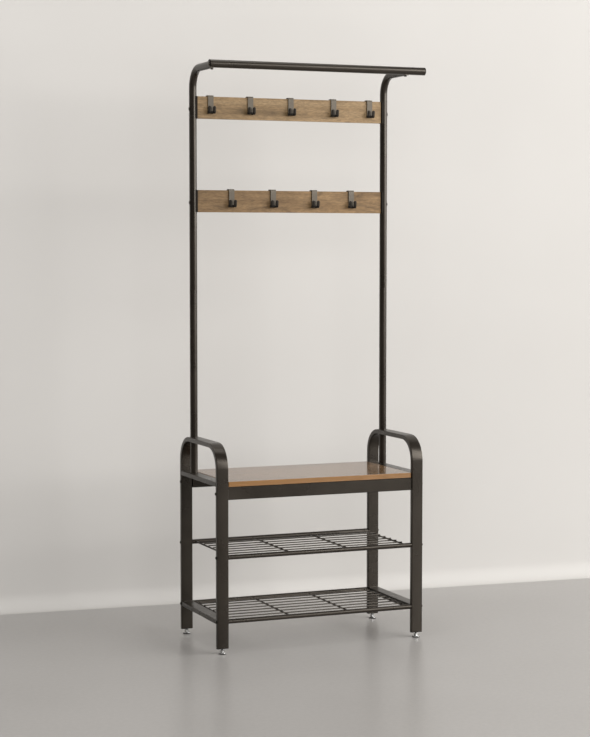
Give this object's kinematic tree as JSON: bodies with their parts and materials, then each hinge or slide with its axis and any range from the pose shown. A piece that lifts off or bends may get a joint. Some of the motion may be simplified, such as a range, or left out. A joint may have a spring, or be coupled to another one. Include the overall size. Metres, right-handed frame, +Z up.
{
  "type": "hall tree with hooks",
  "caption": "Black metal hall tree: two side frames, wooden shoe bench over wire shelves, two wooden hook boards with sliding double hooks, and a hanging bar on top.",
  "frame": {"origin": "centre of the overall bounding box, at floor level under the feet", "axes": "+X to the right along the seat, -Y to the front, +Z up"},
  "size_m": [0.7524, 0.36, 1.8315],
  "materials": {
    "black_powder_coat": "satin, warm near-black",
    "hook_coat": "satin, slightly lighter and more metallic than the frame",
    "black_bolt": "blackened steel, semi-gloss",
    "black_plastic": "matt",
    "hook_board_wood": "brushed brown veneer, satin",
    "seat_wood": "brown veneer, semi-gloss, with a lighter orange-brown edge",
    "bright_zinc": "bright plated"
  },
  "bodies": {
    "frame": {"front_left_apron_bolt": "black_bolt", "front_left_leg_insert": "black_plastic", "front_left_lower_shelf_bolt": "black_bolt", "front_left_middle_shelf_bolt": "black_bolt", "front_right_apron_bolt": "black_bolt", "front_right_leg_insert": "black_plastic", "front_right_lower_shelf_bolt": "black_bolt", "front_right_middle_shelf_bolt": "black_bolt", "front_seat_apron": "black_powder_coat", "hanging_bar": "black_powder_coat", "left_bar_bolt": "black_bolt", "left_bar_end_cap": "black_plastic", "left_leg_loop": "black_powder_coat", "left_lower_post": "black_powder_coat", "left_lower_rail": "black_powder_coat", "left_seat_rail": "black_powder_coat", "left_upper_post": "black_powder_coat", "lower_board_left_bolt": "black_bolt", "lower_board_left_bracket": "black_plastic", "lower_board_right_bolt": "black_bolt", "lower_board_right_bracket": "black_plastic", "lower_hook_board": "hook_board_wood", "lower_wire_shelf": "black_powder_coat", "middle_wire_shelf": "black_powder_coat", "rear_left_apron_bolt": "black_bolt", "rear_left_leg_insert": "black_plastic", "rear_left_lower_shelf_bolt": "black_bolt", "rear_left_middle_shelf_bolt": "black_bolt", "rear_right_apron_bolt": "black_bolt", "rear_right_leg_insert": "black_plastic", "rear_right_lower_shelf_bolt": "black_bolt", "rear_right_middle_shelf_bolt": "black_bolt", "rear_seat_apron": "black_powder_coat", "right_bar_bolt": "black_bolt", "right_bar_end_cap": "black_plastic", "right_leg_loop": "black_powder_coat", "right_lower_post": "black_powder_coat", "right_lower_rail": "black_powder_coat", "right_seat_rail": "black_powder_coat", "right_upper_post": "black_powder_coat", "seat_board": "seat_wood", "upper_board_left_bolt": "black_bolt", "upper_board_left_bracket": "black_plastic", "upper_board_right_bolt": "black_bolt", "upper_board_right_bracket": "black_plastic", "upper_hook_board": "hook_board_wood"},
    "upper_hook_1": {"upper_hook_1": "hook_coat"},
    "upper_hook_2": {"upper_hook_2": "hook_coat"},
    "upper_hook_3": {"upper_hook_3": "hook_coat"},
    "upper_hook_4": {"upper_hook_4": "hook_coat"},
    "upper_hook_5": {"upper_hook_5": "hook_coat"},
    "lower_hook_1": {"lower_hook_1": "hook_coat"},
    "lower_hook_2": {"lower_hook_2": "hook_coat"},
    "lower_hook_3": {"lower_hook_3": "hook_coat"},
    "lower_hook_4": {"lower_hook_4": "hook_coat"},
    "front_left_foot": {"front_left_foot": "bright_zinc"},
    "front_right_foot": {"front_right_foot": "bright_zinc"},
    "rear_left_foot": {"rear_left_foot": "bright_zinc"},
    "rear_right_foot": {"rear_right_foot": "bright_zinc"}
  },
  "joints": [
    {"name": "upper_hook_1_slide", "type": "slide", "parent": "frame", "child": "upper_hook_1", "axis": [1, 0, 0], "range_m": [-0.028, 0.05]},
    {"name": "upper_hook_2_slide", "type": "slide", "parent": "frame", "child": "upper_hook_2", "axis": [1, 0, 0], "range_m": [-0.05, 0.055]},
    {"name": "upper_hook_3_slide", "type": "slide", "parent": "frame", "child": "upper_hook_3", "axis": [1, 0, 0], "range_m": [-0.055, 0.06]},
    {"name": "upper_hook_4_slide", "type": "slide", "parent": "frame", "child": "upper_hook_4", "axis": [1, 0, 0], "range_m": [-0.06, 0.05]},
    {"name": "upper_hook_5_slide", "type": "slide", "parent": "frame", "child": "upper_hook_5", "axis": [1, 0, 0], "range_m": [-0.05, 0.027]},
    {"name": "lower_hook_1_slide", "type": "slide", "parent": "frame", "child": "lower_hook_1", "axis": [1, 0, 0], "range_m": [-0.095, 0.055]},
    {"name": "lower_hook_2_slide", "type": "slide", "parent": "frame", "child": "lower_hook_2", "axis": [1, 0, 0], "range_m": [-0.055, 0.057]},
    {"name": "lower_hook_3_slide", "type": "slide", "parent": "frame", "child": "lower_hook_3", "axis": [1, 0, 0], "range_m": [-0.057, 0.05]},
    {"name": "lower_hook_4_slide", "type": "slide", "parent": "frame", "child": "lower_hook_4", "axis": [1, 0, 0], "range_m": [-0.05, 0.091]},
    {"name": "front_left_foot_level", "type": "slide", "parent": "frame", "child": "front_left_foot", "axis": [0, 0, 1], "range_m": [-0.012, 0.003]},
    {"name": "front_right_foot_level", "type": "slide", "parent": "frame", "child": "front_right_foot", "axis": [0, 0, 1], "range_m": [-0.012, 0.003]},
    {"name": "rear_left_foot_level", "type": "slide", "parent": "frame", "child": "rear_left_foot", "axis": [0, 0, 1], "range_m": [-0.012, 0.003]},
    {"name": "rear_right_foot_level", "type": "slide", "parent": "frame", "child": "rear_right_foot", "axis": [0, 0, 1], "range_m": [-0.012, 0.003]}
  ]
}
